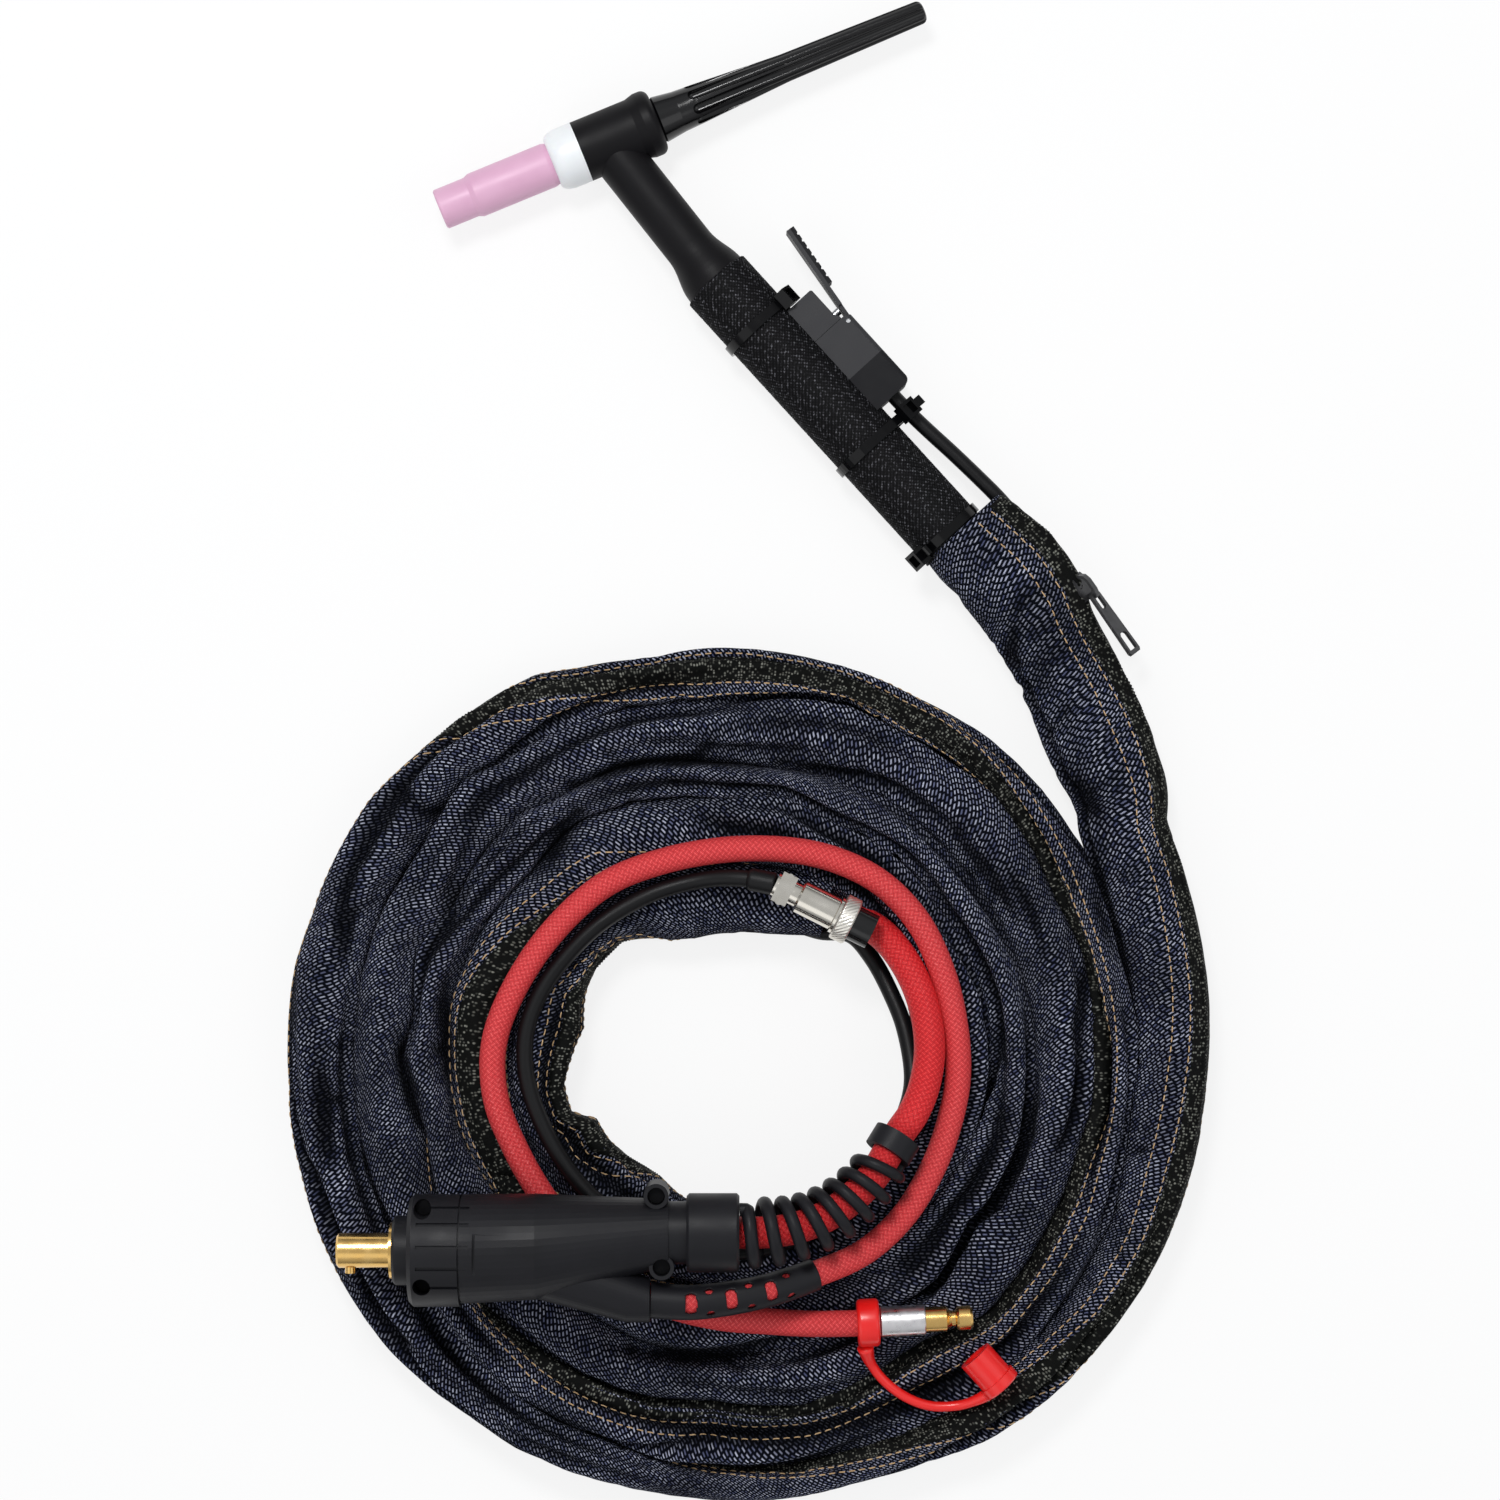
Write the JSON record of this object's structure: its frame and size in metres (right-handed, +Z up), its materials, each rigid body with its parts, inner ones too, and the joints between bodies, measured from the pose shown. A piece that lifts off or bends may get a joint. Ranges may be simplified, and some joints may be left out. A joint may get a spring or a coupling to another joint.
{
  "type": "tig torch",
  "caption": "Gas-cooled TIG welding torch with a ceramic cup, long back cap and lever switch, its zipped denim sleeve coiled flat, with power, gas and control connectors.",
  "frame": {"origin": "where the tungsten's axis crosses the neck's axis, on the axis of the collet's bore", "axes": "+X along the tungsten towards the back cap, +Z up from the surface that the torch and its coil lie on"},
  "size_m": [0.3942, 0.5386, 0.08],
  "materials": {
    "alumina": "fine matte ceramic",
    "ptfe": "smooth white fluoropolymer",
    "copper": "machined copper",
    "brass": "machined brass",
    "gold_plate": "bright turned brass",
    "silicone": "matte moulded rubber",
    "phenolic": "polished black phenolic",
    "seal_rubber": "smooth rubber",
    "handle_rubber": "ribless rubber tube",
    "webbing": "black herringbone webbing",
    "nylon": "moulded black nylon",
    "switch_plastic": "grey-black moulded plastic",
    "switch_rubber": "black moulded rubber",
    "steel": "plated steel",
    "lead_rubber": "satin black rubber",
    "denim": "dark indigo denim with gold topstitching",
    "gunmetal": "dark plated zinc",
    "red_braid": "braided red nylon over rubber hose",
    "plug_rubber": "satin black moulded rubber",
    "crimp_steel": "bright crimped sleeve",
    "red_vinyl": "glossy red vinyl",
    "nickel": "nickel plate",
    "insert_plastic": "black phenolic insert"
  },
  "bodies": {
    "torch": {"head_core": "brass", "head_body": "silicone", "neck_tube": "copper", "handle_shell": "handle_rubber", "inner_cable": "red_braid", "cable_ferrule": "brass", "webbing_wrap": "webbing", "cable_tie_front": "nylon", "cable_tie_rear": "nylon", "cable_tie_sleeve": "nylon", "switch_base": "switch_plastic", "switch_housing": "switch_plastic", "switch_boot": "switch_rubber", "lever_pin": "steel", "switch_lead": "lead_rubber", "sleeve_lead": "denim", "sleeve_coil": "denim", "zip_slider": "gunmetal", "power_cable": "red_braid", "gas_lead": "red_braid", "control_lead": "lead_rubber", "plug_pin": "gold_plate", "plug_nose": "plug_rubber", "plug_upper_half": "plug_rubber", "plug_lower_half": "plug_rubber", "plug_screws": "steel", "power_relief": "plug_rubber", "relief_coils": "plug_rubber", "relief_end": "plug_rubber", "gas_relief": "plug_rubber", "gas_ferrule": "crimp_steel", "gas_nipple": "gold_plate", "cap_tether": "red_vinyl", "dust_cap": "red_vinyl", "connector_clamp": "nickel", "clamp_screws": "nickel", "connector_shell": "nickel", "connector_insert": "insert_plastic", "connector_contacts": "gold_plate"},
    "cap_seal": {"cap_seal": "seal_rubber"},
    "cap": {"back_cap": "phenolic"},
    "nose_core": {"collet": "copper", "insulator_ring": "ptfe"},
    "nose": {"collet_body": "brass", "gas_cup": "alumina"},
    "lever": {"switch_lever": "switch_plastic", "lever_pad": "switch_rubber"},
    "plunger": {"switch_plunger": "steel"},
    "nut": {"coupling_nut": "nickel"},
    "zip_tab": {"zip_pull": "gunmetal"}
  },
  "joints": [
    {"name": "cap_feed", "type": "slide", "parent": "torch", "child": "cap_seal", "axis": [1, 0, 0], "range_m": [0, 0.005]},
    {"name": "cap_turn", "type": "hinge", "parent": "cap_seal", "child": "cap", "pos_m": [0, 0, 0], "axis": [1, 0, 0], "range_deg": [0, 1440]},
    {"name": "nose_feed", "type": "slide", "parent": "torch", "child": "nose_core", "axis": [-1, 0, 0], "range_m": [0, 0.005]},
    {"name": "nose_turn", "type": "hinge", "parent": "nose_core", "child": "nose", "pos_m": [0, 0, 0], "axis": [-1, 0, 0], "range_deg": [0, 1440]},
    {"name": "lever_hinge", "type": "hinge", "parent": "torch", "child": "lever", "pos_m": [0.05978, -0.10034, 0], "axis": [0, 0, 1], "range_deg": [0, 8], "stiffness_Nm_per_rad": 0.05, "springref_deg": -11.46},
    {"name": "plunger_slide", "type": "slide", "parent": "torch", "child": "plunger", "axis": [-0.9397, -0.342, 0], "range_m": [0, 0.0008]},
    {"name": "nut_turn", "type": "hinge", "parent": "torch", "child": "nut", "pos_m": [-0.0289, -0.31224, 0.0246], "axis": [0.66, -0.7513, 0], "continuous": true},
    {"name": "zip_tab_hinge", "type": "hinge", "parent": "torch", "child": "zip_tab", "pos_m": [0.10755, -0.23406, 0.00421], "axis": [-0.6845, -0.1556, 0.7123], "range_deg": [0, 150]}
  ],
  "couplings": [
    {"joint": "cap_turn", "follows": "cap_feed", "rad_per_m": 5026.5},
    {"joint": "nose_turn", "follows": "nose_feed", "rad_per_m": 5026.5},
    {"joint": "plunger_slide", "follows": "lever_hinge", "m_per_rad": 0.0056}
  ]
}
